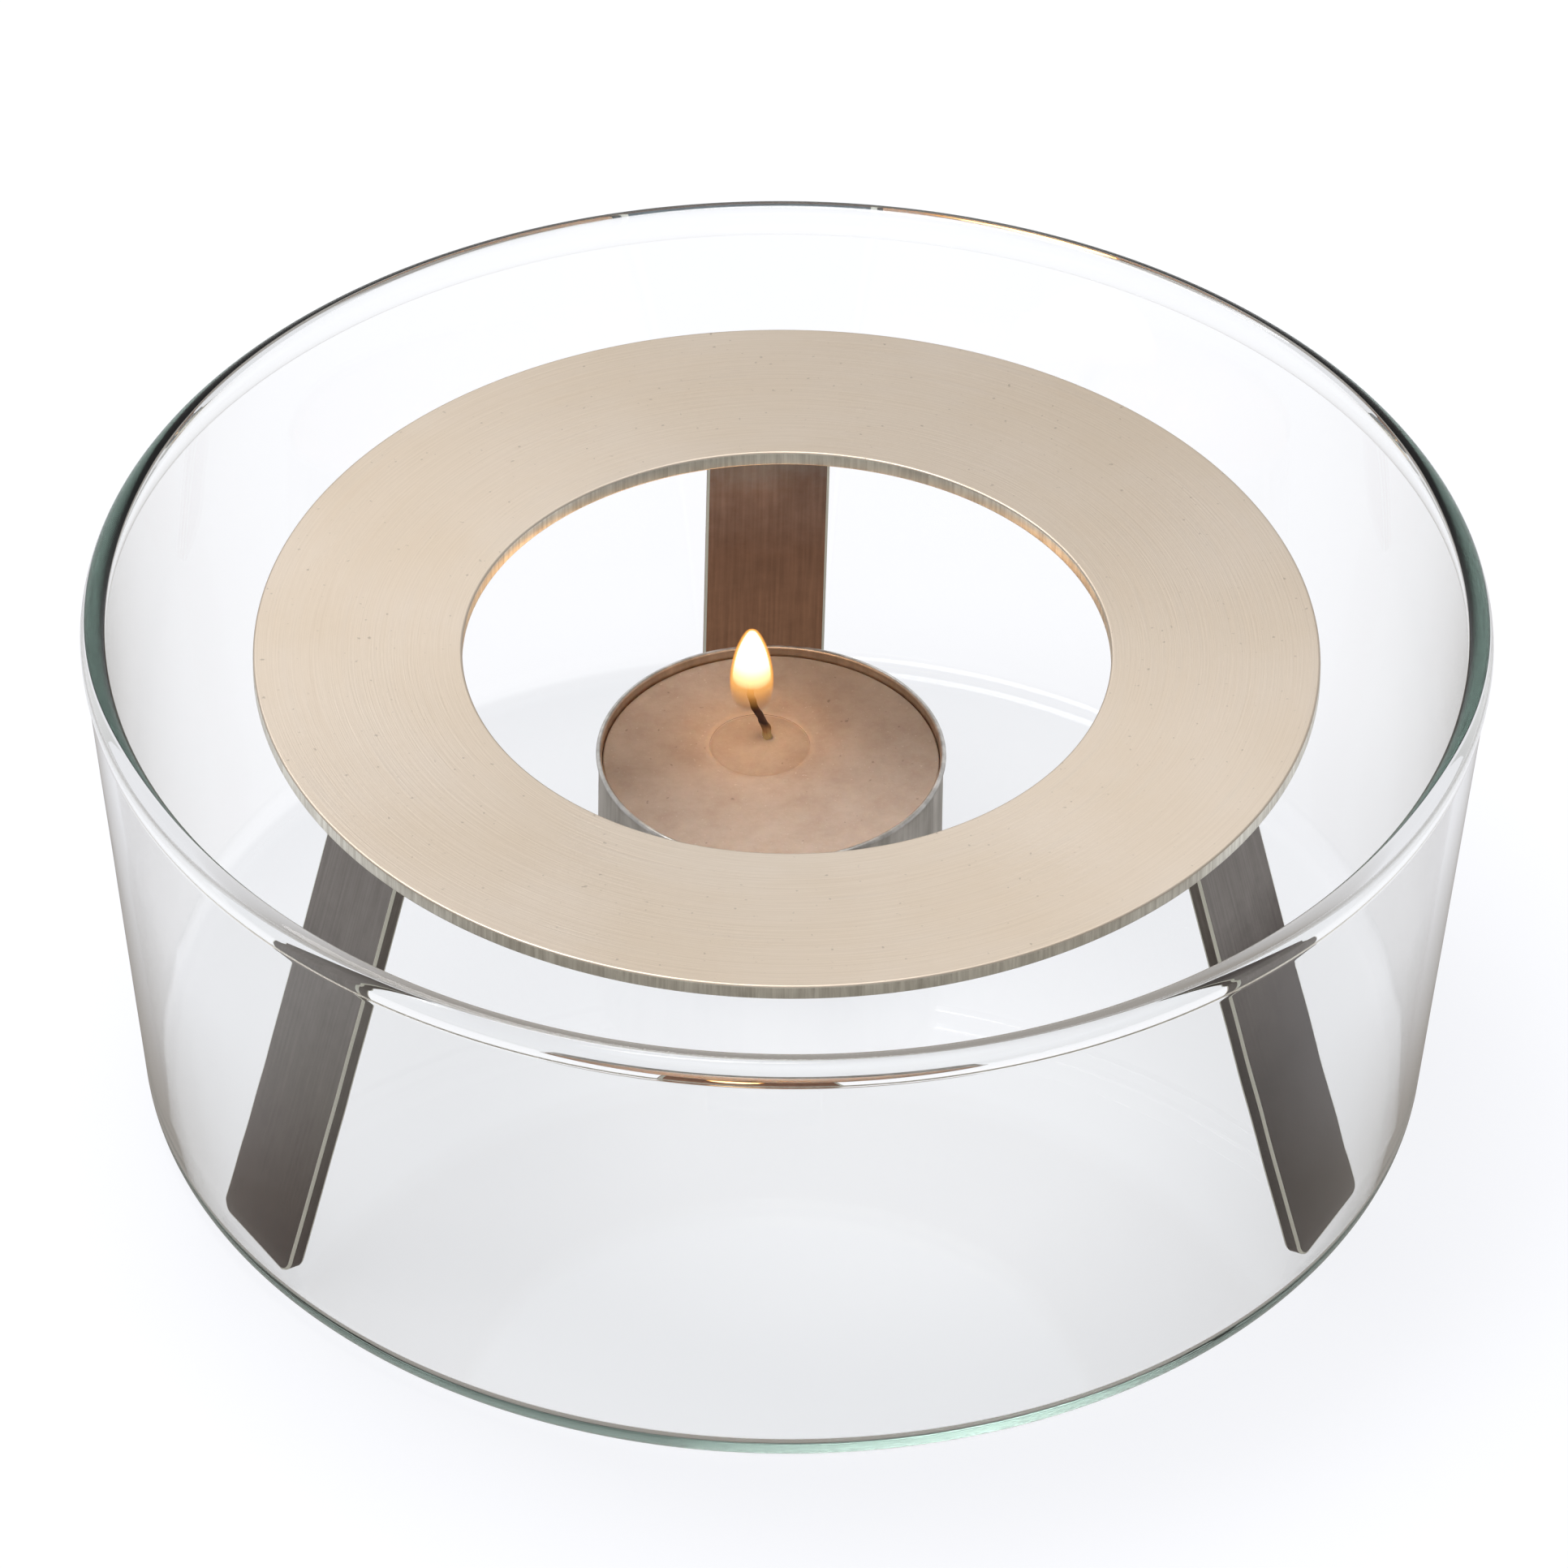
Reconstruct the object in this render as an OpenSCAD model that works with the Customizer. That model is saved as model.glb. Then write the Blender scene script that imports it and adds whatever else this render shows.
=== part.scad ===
// Tealight holder: a clear glass bowl, a steel ring on three strip legs that
// stands inside it, and a tealight on the bowl's floor.
// Origin: centre of the underside of the bowl. +Z is up, and +Y points to the back leg.

/* [Bowl] */
// Diameter of the bowl across its rim
bowl_d = 150; // [148:1:160]
// Height of the bowl
bowl_h = 60; // [58:1:75]
// Thickness of the glass wall
wall_t = 1.5; // [1.2:0.1:2]
// Thickness of the glass base
base_t = 2.6; // [2:0.1:3.2]
// Lean of the wall, in degrees from upright
wall_lean = 6; // [4:0.5:7]
// Outer radius where the wall turns into the base
corner_r = 4.3; // [3.5:0.1:5]
// Inner radius where the wall meets the floor
floor_r = 1.6; // [1:0.1:2.4]
// Thickness of the rounded rim bead
rim_t = 2.7; // [2.2:0.1:3]
// Height of the straight stretch in the rim bead
rim_rise = 1.3; // [0.8:0.1:2]

/* [Stand] */
// Outer diameter of the ring
ring_d = 113.5; // [110:0.5:116]
// Diameter of the hole in the ring
ring_hole_d = 69; // [66:1:72]
// Height of the ring's top face above the table
ring_top = 55.5; // [52:0.5:57]
// Thickness of the ring and of the legs
steel_t = 1.7; // [1.2:0.1:2]
// Width of each leg
leg_w = 13.4; // [11:0.1:15]
// Distance from the axis to a leg's outer face under the ring
leg_top_r = 51.4; // [48:0.1:53]
// Distance from the axis to a leg's outer face at the floor
leg_foot_r = 65.6; // [63:0.1:65.6]
// Radius of the rounded corners of a foot
foot_round = 1.5; // [1:0.1:3]

/* [Tealight] */
// Diameter of the tealight across its rolled rim
cup_d = 38.2; // [37:0.1:39]
// Height of the tealight cup
cup_h = 16; // [14:0.5:17]
// Thickness of the cup's metal
cup_t = 0.35; // [0.3:0.05:0.5]
// Sideways place of the tealight in the bowl
cup_x = -0.4; // [-2:0.1:2]
// Place of the tealight towards the back leg
cup_y = 29.2; // [26:0.1:30]
// How far the wax lies below the cup's rim
wax_drop = 1.5; // [1:0.1:3]
// Diameter of the wick
wick_d = 1.1; // [0.8:0.1:1.4]

/* [Hidden] */
$fn = 96;

// Bowl: the wall's outer line holds every point p with wall_normal * p = wall_line
lean_cos = cos(wall_lean);
lean_sin = sin(wall_lean);
rim_bead_r = rim_t / 2;
rim_x = bowl_d / 2 - rim_bead_r;
rim_high = bowl_h - rim_bead_r;
rim_low = rim_high - rim_rise;
rim_proud = 0.3;
rim_neck = 2.4;
neck_in = 0.75 * rim_bead_r;
neck_down = 0.3 * rim_bead_r;
wall_line = lean_cos * (bowl_d / 2 - rim_proud) - lean_sin * rim_low;
corner_x = (wall_line - corner_r + lean_sin * corner_r) / lean_cos;
floor_z = base_t + floor_r;
floor_x = (wall_line - wall_t - floor_r + lean_sin * floor_z) / lean_cos;

// Stand
ring_under = ring_top - steel_t;
ring_chamfer = 0.25;
leg_splay = atan2(leg_foot_r - leg_top_r, ring_under - base_t);
leg_depth = steel_t / cos(leg_splay);
leg_turns = [90, 210, 330];
bead_r = 1.4;
bead_len = 8;

// Tealight
rim_roll_r = 0.3;
cup_wall_r = cup_d / 2 - rim_roll_r;
cup_corner_r = 1;
cup_top = base_t + cup_h;
wax_gap = 0.35;
wax_r = cup_wall_r - cup_t - wax_gap;
wax_bottom = base_t + cup_t;
wax_top = cup_top - wax_drop;
wax_corner_r = 1;
wick_r = wick_d / 2;
wick_at = [cup_x - 0.2, cup_y + 5];
wick_ball_r = wick_r + 0.03;
wick_bore_gap = 0.1;
pool_r = 5.6;
pool_depth = 0.5;
pool_at = [cup_x - 1.1, cup_y + 3.3];
pool_ball_r = (pool_r * pool_r + pool_depth * pool_depth) / (2 * pool_depth);
disc_r = 6.5;
disc_t = 0.4;
neck_r = 1.3;
neck_h = 3;
// Bends of the wick above the melt pool: offset to the side and height
wick_bends = [[0, 0], [-0.5, 1.9], [-1.6, 4.4], [-1.9, 6.4], [-1.8, 7.8]];

// x of the wall's outer line at height z, moved in by the given depth of glass
function wall_x(z, depth = 0) = (wall_line - depth + lean_sin * z) / lean_cos;

// Solid outline of the bowl, up to the rim bead
module bowl_outside() {
    translate([corner_x, corner_r]) circle(corner_r);
    polygon([
        [0, 0], [corner_x, 0],
        [corner_x + corner_r * lean_cos, corner_r - corner_r * lean_sin],
        [wall_x(rim_low), rim_low], [0, rim_low]
    ]);
}

// Outline of the hollow in the bowl
module bowl_inside() {
    translate([floor_x, floor_z]) circle(floor_r);
    polygon([
        [-1, base_t], [floor_x, base_t],
        [floor_x + floor_r * lean_cos, floor_z - floor_r * lean_sin],
        [wall_x(rim_low + 1, wall_t), rim_low + 1], [-1, rim_low + 1]
    ]);
}

// Rounded rim, with a short neck that starts inside its bead and runs out into the wall below
module rim_outline() {
    translate([rim_x, rim_high]) circle(rim_bead_r);
    translate([rim_x, rim_low]) circle(rim_bead_r);
    translate([rim_x - rim_bead_r, rim_low]) square([rim_t, rim_rise]);
    polygon([
        [rim_x - neck_in, rim_low - neck_down],
        [wall_x(rim_low - rim_neck, wall_t), rim_low - rim_neck],
        [wall_x(rim_low - rim_neck, wall_t / 2), rim_low - rim_neck],
        [rim_x, rim_low - neck_down]
    ]);
}

module glass_bowl() {
    color([0.86, 0.92, 0.92, 0.35])
    rotate_extrude() union() {
        difference() {
            bowl_outside();
            bowl_inside();
        }
        rim_outline();
    }
}

module pot_ring() {
    inner = ring_hole_d / 2;
    outer = ring_d / 2;
    color([0.80, 0.72, 0.62])
    rotate_extrude() polygon([
        [inner, ring_under], [outer, ring_under],
        [outer, ring_top - ring_chamfer], [outer - ring_chamfer, ring_top],
        [inner + ring_chamfer, ring_top], [inner, ring_top - ring_chamfer]
    ]);
}

// Face of a leg seen along its radius: a strip with rounded foot corners
module leg_face() {
    half = leg_w / 2;
    translate([-half, base_t + foot_round]) square([leg_w, ring_under - base_t - foot_round]);
    translate([-half + foot_round, base_t]) square([leg_w - 2 * foot_round, 2 * foot_round]);
    for (side = [-1, 1])
        translate([side * (half - foot_round), base_t + foot_round]) circle(foot_round);
}

// Splayed strip leg, standing on the glass floor and ending under the ring
module strip_leg(turn) {
    color([0.36, 0.32, 0.28])
    rotate([0, 0, turn]) intersection() {
        rotate([90, 0, 0]) linear_extrude(leg_w + 2, center = true) polygon([
            [leg_foot_r, base_t], [leg_top_r, ring_under],
            [leg_top_r - leg_depth, ring_under], [leg_foot_r - leg_depth, base_t]
        ]);
        rotate([90, 0, 90]) linear_extrude(leg_foot_r + 2) leg_face();
    }
}

// Quarter-round weld bead in the angle between a leg's inner face and the ring
module weld_bead(turn) {
    rotate([0, 0, turn]) intersection() {
        translate([leg_top_r - leg_depth, 0, ring_under]) rotate([90, 0, 0])
            cylinder(h = bead_len, r = bead_r, center = true);
        rotate([90, 0, 0]) linear_extrude(bead_len, center = true) polygon([
            [leg_top_r - leg_depth, ring_under],
            [leg_top_r - leg_depth - 2 * bead_r, ring_under],
            [leg_top_r - leg_depth - 2 * bead_r, ring_under - 2 * bead_r],
            [leg_top_r - leg_depth + 2 * bead_r * tan(leg_splay), ring_under - 2 * bead_r]
        ]);
    }
}

module weld_beads() {
    color([0.42, 0.38, 0.34])
    for (turn = leg_turns) weld_bead(turn);
}

// Solid with a rounded bottom edge, from which the cup and the wax are made
module round_bottomed(radius, height, edge_r) {
    rotate_extrude() union() {
        square([radius - edge_r, height]);
        translate([0, edge_r]) square([radius, height - edge_r]);
        translate([radius - edge_r, edge_r]) circle(edge_r);
    }
}

module tealight_cup() {
    color([0.72, 0.72, 0.70])
    translate([cup_x, cup_y, base_t]) union() {
        difference() {
            round_bottomed(cup_wall_r, cup_h - rim_roll_r, cup_corner_r);
            translate([0, 0, cup_t])
                round_bottomed(cup_wall_r - cup_t, cup_h, cup_corner_r - cup_t);
        }
        rotate_extrude() translate([cup_wall_r, cup_h - rim_roll_r]) circle(rim_roll_r);
    }
}

module candle_wax() {
    color([0.70, 0.60, 0.52])
    difference() {
        translate([cup_x, cup_y, wax_bottom])
            round_bottomed(wax_r, wax_top - wax_bottom, wax_corner_r);
        translate([pool_at[0], pool_at[1], wax_top - pool_depth + pool_ball_r]) sphere(pool_ball_r);
        translate([wick_at[0], wick_at[1], wax_bottom - 1])
            cylinder(h = cup_h, r = wick_r + wick_bore_gap);
        translate([wick_at[0], wick_at[1], wax_bottom - 1])
            cylinder(h = 1 + disc_t, r = disc_r);
        translate([wick_at[0], wick_at[1], wax_bottom])
            cylinder(h = neck_h, r = neck_r);
    }
}

// One straight stretch of the wick, with a ball at its upper end
module wick_stretch(from, to) {
    step = to - from;
    translate([from[0], 0, from[1]]) rotate([0, atan2(step[0], step[1]), 0])
        cylinder(h = norm(step), r = wick_r);
    translate([to[0], 0, to[1]]) sphere(wick_ball_r);
}

module wick() {
    bend_z = wax_top - pool_depth + 0.3;
    color([0.25, 0.15, 0.10])
    translate([wick_at[0], wick_at[1], 0]) union() {
        translate([0, 0, wax_bottom + disc_t]) cylinder(h = bend_z - wax_bottom - disc_t, r = wick_r);
        translate([0, 0, bend_z]) {
            sphere(wick_ball_r);
            for (i = [1 : len(wick_bends) - 1]) wick_stretch(wick_bends[i - 1], wick_bends[i]);
        }
    }
}

module wick_sustainer() {
    color([0.66, 0.66, 0.66])
    translate([wick_at[0], wick_at[1], wax_bottom]) difference() {
        union() {
            cylinder(h = disc_t, r = disc_r);
            cylinder(h = neck_h, r = neck_r);
        }
        translate([0, 0, disc_t]) cylinder(h = neck_h, r = wick_r);
    }
}

glass_bowl();
pot_ring();
strip_leg(leg_turns[0]);  // leg_back
strip_leg(leg_turns[1]);  // leg_left
strip_leg(leg_turns[2]);  // leg_right
weld_beads();
tealight_cup();
candle_wax();
wick();
wick_sustainer();
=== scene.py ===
"""Looks of the tealight holder: a clear glass bowl, a brushed steel ring on three strip legs inside it,
and a burning tealight on the bowl's floor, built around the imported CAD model."""
import math

import bmesh
import bpy
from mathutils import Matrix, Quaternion, Vector, noise


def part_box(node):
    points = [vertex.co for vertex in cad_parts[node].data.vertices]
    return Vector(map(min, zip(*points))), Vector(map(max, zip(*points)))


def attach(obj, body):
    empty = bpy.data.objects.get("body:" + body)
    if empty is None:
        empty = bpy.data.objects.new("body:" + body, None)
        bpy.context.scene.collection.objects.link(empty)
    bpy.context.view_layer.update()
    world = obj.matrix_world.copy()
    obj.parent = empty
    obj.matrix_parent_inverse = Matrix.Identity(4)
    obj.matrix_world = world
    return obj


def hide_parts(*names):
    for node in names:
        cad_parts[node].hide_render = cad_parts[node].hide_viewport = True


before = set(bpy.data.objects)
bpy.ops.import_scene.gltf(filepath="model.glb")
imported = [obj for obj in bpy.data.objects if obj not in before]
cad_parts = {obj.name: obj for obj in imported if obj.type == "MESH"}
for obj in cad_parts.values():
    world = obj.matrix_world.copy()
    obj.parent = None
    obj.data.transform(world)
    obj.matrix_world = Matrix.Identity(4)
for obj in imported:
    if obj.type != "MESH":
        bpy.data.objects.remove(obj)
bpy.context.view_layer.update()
MM = 0.001


def box_mm(node):
    """Lowest and highest corner of a CAD node in millimetres."""
    lo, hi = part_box(node)
    return lo / MM, hi / MM


# Sizes in millimetres. What a box gives is read from the CAD model, and the rest repeats the CAD source,
# apart from the values with a remark, which only the looks have.
BOWL_HI = box_mm("glass_bowl")[1]
BOWL_R = BOWL_HI.x
WALL_T = 1.5
BASE_T = box_mm("leg_back")[0].z
WALL_LEAN = 6.0
CORNER_R = 4.3
FLOOR_R = 1.6
RIM_BEAD_R = 1.35
RIM_RISE = 1.3
RIM_PROUD = 0.3
RIM_DROP = 2.4  # height of the bead's lower half, where the CAD source has a short neck
BELOW_BEAD = 1.4  # the wall stays finely divided this far below the bead
BEAD_FILLET_OUT = 0.5  # where the bead and the outer wall come this close, they run into each other
BEAD_FILLET_IN = 1.0  # the same on the inside
GLASS_WAVER = 0.028  # how far the wall's faces stray sideways

RING_LO, RING_HI = box_mm("pot_ring")
RING_R = RING_HI.x
RING_HOLE_R = 34.5
RING_EDGE = 0.25
RING_HEM = 0.06  # narrow strip beside the rounded edges, which keeps the shading of the faces flat

LEG_LO, LEG_HI = box_mm("leg_back")
LEG_HALF_W = LEG_HI.x
LEG_FOOT_R = LEG_HI.y
LEG_TOP_R = 51.4
STEEL_T = 1.7
FOOT_ROUND = 1.5
LEG_BEVEL = 0.28  # ground edges
LEG_SPLAY = math.atan2(LEG_FOOT_R - LEG_TOP_R, LEG_HI.z - LEG_LO.z)
LEG_DEPTH = STEEL_T / math.cos(LEG_SPLAY)
LEG_TURNS = {"leg_back": 90, "leg_left": 210, "leg_right": 330}
BEAD_R = 1.4
BEAD_LEN = 8.0

CUP_LO, CUP_HI = box_mm("tealight_cup")
CUP_AT = (CUP_LO + CUP_HI) / 2
CUP_ROLL_R = 0.3
CUP_WALL_R = (CUP_HI.x - CUP_LO.x) / 2 - CUP_ROLL_R
CUP_T = 0.35
CUP_PLAY = 0.03  # gap under the wax and the sustainer
CUP_CORNER = 1.0  # rounding between the cup's wall and its bottom
CUP_RECESS = 0.15  # how far the bottom is raised inside the narrow ring that the cup stands on
CUP_CREASE = 0.055  # depth of the creases in the wall

WAX_LO, WAX_HI = box_mm("candle_wax")
WAX_PLAY = 0.08  # gap between the wax and the cup's wall
WAX_R = CUP_WALL_R - CUP_T - WAX_PLAY
WAX_EDGE = 0.15  # rounding of the wax's top edge
WAX_CLIMB = 0.18  # how much higher the wax stands at the cup's wall
POOL_R = 5.6
POOL_AT = Vector((CUP_AT.x - 1.1, CUP_AT.y + 3.3))
WICK_AT = Vector((CUP_AT.x - 0.2, CUP_AT.y + 5))
WICK_R = 0.55
WICK_BEND_DEPTH = 0.2  # how far below the top of the wax the bends start
WICK_BENDS = [(0, 0), (-0.5, 1.9), (-1.6, 4.4), (-1.9, 6.4), (-1.8, 7.8)]
DISC_R = 6.5
DISC_T = 0.4
NECK_R = 1.3
NECK_H = 3.0
MELT_PLAY = 0.12  # gap between the melted wax and the pool's wall


# ---------------------------------------------------------------- mesh helpers
def smooth_step(t):
    t = min(max(t, 0.0), 1.0)
    return t * t * (3 - 2 * t)


def spread(start, end, steps):
    """Evenly spaced numbers from start to end, both included."""
    return [start + (end - start) * i / steps for i in range(steps + 1)]


def arc(centre_x, centre_z, radius, start, end, steps):
    """Outline points on an arc, from angle start to end in degrees."""
    angles = [math.radians(a) for a in spread(start, end, steps)]
    return [(centre_x + radius * math.cos(a), centre_z + radius * math.sin(a)) for a in angles]


def build(name, points_mm, faces, sharp_angle=None):
    """New object from points in millimetres, smooth except at edges sharper than sharp_angle degrees."""
    mesh = bpy.data.meshes.new(name)
    mesh.from_pydata([Vector(p) * MM for p in points_mm], [], faces)
    bm = bmesh.new()
    bm.from_mesh(mesh)
    bmesh.ops.recalc_face_normals(bm, faces=bm.faces)
    bm.to_mesh(mesh)
    bm.free()
    mesh.shade_smooth()
    if sharp_angle is not None:
        mesh.set_sharp_from_angle(angle=math.radians(sharp_angle))
    piece = bpy.data.objects.new(name, mesh)
    bpy.context.scene.collection.objects.link(piece)
    return piece


def lathe(name, outline, segments, centre=(0, 0), ripple=None, loop=False):
    """Turns an outline of (radius, height) about the upright line through centre.
    An outline that starts and ends on that line is closed there, and loop joins its end to its start.
    ripple(angle, radius, height) moves a point sideways by that many millimetres."""
    points, rings = [], []
    for radius, height in outline:
        if radius < 1e-6:
            rings.append([len(points)])
            points.append((centre[0], centre[1], height))
            continue
        ring = []
        for i in range(segments):
            a = 2 * math.pi * i / segments
            r = radius + (ripple(a, radius, height) if ripple else 0)
            ring.append(len(points))
            points.append((centre[0] + r * math.cos(a), centre[1] + r * math.sin(a), height))
        rings.append(ring)
    faces = []
    pairs = list(zip(rings, rings[1:]))
    if loop:
        pairs.append((rings[-1], rings[0]))
    for low, high in pairs:
        for i in range(segments):
            k = (i + 1) % segments
            if len(low) == 1:
                faces.append((low[0], high[k], high[i]))
            elif len(high) == 1:
                faces.append((low[i], low[k], high[0]))
            else:
                faces.append((low[i], low[k], high[k], high[i]))
    return build(name, points, faces)


def smooth_path(knots, steps):
    """Points on a smooth curve through the knots, steps of them between each two."""
    knots = [Vector(k) for k in knots]
    knots = [2 * knots[0] - knots[1]] + knots + [2 * knots[-1] - knots[-2]]
    points = []
    for a, b, c, d in zip(knots, knots[1:], knots[2:], knots[3:]):
        for i in range(steps):
            t = i / steps
            points.append(
                0.5 * (2 * b + (c - a) * t + (2 * a - 5 * b + 4 * c - d) * t * t
                       + (3 * b - a - 3 * c + d) * t ** 3)
            )
    points.append(knots[-2])
    return points


def paint(piece, *materials):
    for material in materials:
        piece.data.materials.append(material)


def place(piece, body, slot, *nodes):
    """The piece rides on a CAD body and stands for CAD nodes. slot is not used."""
    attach(piece, body)
    if nodes:
        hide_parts(*nodes)
    return piece


# ---------------------------------------------------------------- material helpers
class Graph:
    """A material whose shader nodes are added with one call each."""

    def __init__(self, name):
        self.material = bpy.data.materials.new(name)
        self.material.use_nodes = True
        self.tree = self.material.node_tree
        self.tree.nodes.clear()
        self.output = self.tree.nodes.new("ShaderNodeOutputMaterial")

    def feed(self, socket, value):
        if isinstance(value, bpy.types.NodeSocket):
            self.tree.links.new(value, socket)
        else:
            socket.default_value = value

    def add(self, kind, inputs=None, **settings):
        node = self.tree.nodes.new(kind)
        for key, value in settings.items():
            setattr(node, key, value)
        for key, value in (inputs or {}).items():
            self.feed(node.inputs[key], value)
        return node

    def maths(self, operation, *values):
        node = self.add("ShaderNodeMath", operation=operation)
        for socket, value in zip(node.inputs, values):
            self.feed(socket, value)
        return node.outputs[0]

    def vector(self, operation, *values):
        node = self.add("ShaderNodeVectorMath", operation=operation)
        for socket, value in zip(node.inputs, values):
            self.feed(socket, value)
        return node.outputs["Value" if operation == "LENGTH" else "Vector"]

    def place(self):
        """Position on the object, in metres."""
        return self.add("ShaderNodeTexCoord").outputs["Object"]

    def grain(self):
        """Position on a strip in metres: across it, through it and along it."""
        return self.add("ShaderNodeAttribute", attribute_name="grain").outputs["Vector"]

    def noise(self, vector, scale, detail=3.0, roughness=0.55):
        inputs = {"Vector": vector, "Scale": scale, "Detail": detail, "Roughness": roughness}
        return self.add("ShaderNodeTexNoise", inputs).outputs["Fac"]

    def ramp(self, factor, stops):
        """Colours from a factor. stops are (position, colour or grey)."""
        node = self.add("ShaderNodeValToRGB", {"Fac": factor})
        elements = node.color_ramp.elements
        while len(elements) < len(stops):
            elements.new(0.5)
        for element, (position, colour) in zip(elements, stops):
            element.position = position
            element.color = (*colour, 1) if isinstance(colour, tuple) else (colour,) * 3 + (1,)
        return node.outputs["Color"]

    def blend(self, factor, a, b, mode="MIX"):
        node = self.add("ShaderNodeMix", data_type="RGBA", blend_type=mode)
        for socket, value in zip((node.inputs[0], node.inputs[6], node.inputs[7]), (factor, a, b)):
            if isinstance(value, tuple):
                value = (*value, 1)
            self.feed(socket, value)
        return node.outputs[2]

    def bump(self, height, distance, strength=1.0):
        inputs = {"Height": height, "Distance": distance, "Strength": strength}
        return self.add("ShaderNodeBump", inputs).outputs["Normal"]

    def principled(self, inputs):
        return self.add("ShaderNodeBsdfPrincipled", inputs).outputs["BSDF"]

    def finish(self, surface, volume=None):
        self.tree.links.new(surface, self.output.inputs["Surface"])
        if volume is not None:
            self.tree.links.new(volume, self.output.inputs["Volume"])
        return self.material


def see_through(g, surface, tint, slanting_tint=None):
    """Lets rays from lamps and from matt surfaces pass through glass, so that the inside is lit.
    slanting_tint is for rays that graze the surface, of which glass lets less through."""
    paths = g.add("ShaderNodeLightPath")
    either = g.maths("MAXIMUM", paths.outputs["Is Shadow Ray"], paths.outputs["Is Diffuse Ray"])
    colour = (*tint, 1)
    if slanting_tint:
        facing = g.add("ShaderNodeLayerWeight", {"Blend": 0.5}).outputs["Facing"]
        colour = g.ramp(facing, [(0.10, tint), (0.65, slanting_tint)])
    clear = g.add("ShaderNodeBsdfTransparent", {"Color": colour})
    mix = g.add("ShaderNodeMixShader")
    g.feed(mix.inputs[0], either)
    g.feed(mix.inputs[1], surface)
    g.feed(mix.inputs[2], clear.outputs[0])
    return mix.outputs[0]


def glass_material():
    g = Graph("clear_glass")
    surface = g.principled({
        "Base Color": (1, 1, 1, 1),
        "Roughness": 0.0,
        "IOR": 1.5,
        "Specular Tint": (0.45, 0.45, 0.45, 1),
        "Transmission Weight": 1.0,
    })
    volume = g.add("ShaderNodeVolumeAbsorption", {"Color": (0.233, 0.483, 0.40, 1), "Density": 7.0})
    return g.finish(see_through(g, surface, (0.95, 0.95, 0.955), (0.40, 0.40, 0.405)), volume.outputs[0])


def ring_face_material():
    """Steel with fine brush lines that run round the ring."""
    g = Graph("ring_brushed_steel")
    flat = g.vector("MULTIPLY", g.place(), (1, 1, 0))
    radius = g.vector("LENGTH", flat)
    way = g.vector("NORMALIZE", flat)

    def rings(across, along):
        """Noise drawn out along circles: across is its scale per metre, along its scale round the ring."""
        height = g.add("ShaderNodeCombineXYZ", {"Z": g.maths("MULTIPLY", radius, across)})
        turned = g.add("ShaderNodeVectorMath", {"Vector": way, "Scale": along}, operation="SCALE")
        spot = g.vector("ADD", turned.outputs["Vector"], height.outputs[0])
        return g.noise(spot, 1.0, detail=4.0, roughness=0.6)

    fine = rings(5200, 3.0)
    coarse = rings(1300, 1.6)
    cloud = g.noise(g.place(), 38.0, detail=4.0)
    streaks = g.maths("ADD", g.maths("MULTIPLY", fine, 0.55), g.maths("MULTIPLY", coarse, 0.45))
    base = g.ramp(streaks, [(0.36, (0.572, 0.497, 0.418)), (0.5, (0.606, 0.529, 0.447)),
                            (0.64, (0.639, 0.560, 0.478))])
    warm = g.ramp(cloud, [(0.35, (0.965, 0.945, 0.91)), (0.65, (1.0, 1.0, 1.0))])
    specks = g.ramp(g.noise(g.place(), 1500.0, detail=1.0), [(0.20, 0.72), (0.27, 1.0)])
    colour = g.blend(1.0, g.blend(1.0, base, warm, "MULTIPLY"), specks, "MULTIPLY")
    rough = g.ramp(streaks, [(0.35, 0.54), (0.65, 0.42)])
    tangent = g.add("ShaderNodeTangent", direction_type="RADIAL", axis="Z")
    return g.finish(g.principled({
        "Base Color": colour,
        "Metallic": 1.0,
        "Roughness": rough,
        "Anisotropic": 0.2,
        "Tangent": tangent.outputs[0],
        "Normal": g.bump(fine, 0.00002, 0.7),
    }))


def ring_edge_material():
    """Cut edge of the ring: darker, with fine upright scratches."""
    g = Graph("ring_cut_edge")
    flat = g.vector("MULTIPLY", g.place(), (1, 1, 0.06))
    scratches = g.noise(flat, 2600.0, detail=3.0)
    blotches = g.noise(g.place(), 160.0, detail=3.0)
    both = g.maths("ADD", g.maths("MULTIPLY", scratches, 0.6), g.maths("MULTIPLY", blotches, 0.4))
    colour = g.ramp(both, [(0.36, (0.64, 0.61, 0.53)), (0.64, (0.98, 0.96, 0.86))])
    return g.finish(g.principled({
        "Base Color": colour,
        "Metallic": 1.0,
        "Roughness": 0.38,
        "Normal": g.bump(scratches, 0.00003, 0.6),
    }))


# Legs: shares of the length below, in metres, at which the colours of the table below are reached. These
# colours are painted reflection and shade, darker and browner towards the foot, with the right leg painted
# darker than the left and the back leg's warm brown a painted glow of the flame.
SHADED_LENGTH = 0.056
SHADE_RISES = (0.15, 0.48, 0.68, 0.82)
# Material name, and colours at the foot, half way up, above that and under the ring
LEG_PAINTED_SHADES = {
    "leg_left": (
        "leg_steel_painted_reflection",
        [(0.070, 0.015, 0.008), (0.29, 0.26, 0.225), (0.41, 0.385, 0.36), (0.48, 0.45, 0.42)]),
    "leg_right": (
        "leg_steel_painted_dark_reflection",
        [(0.035, 0.006, 0.003), (0.050, 0.025, 0.015), (0.23, 0.20, 0.18), (0.46, 0.43, 0.40)]),
    "leg_back": (
        "leg_steel_painted_flame_glow",
        [(1.0, 0.53, 0.31), (0.73, 0.41, 0.27), (0.66, 0.48, 0.41), (0.48, 0.60, 0.68)]),
}


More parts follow.
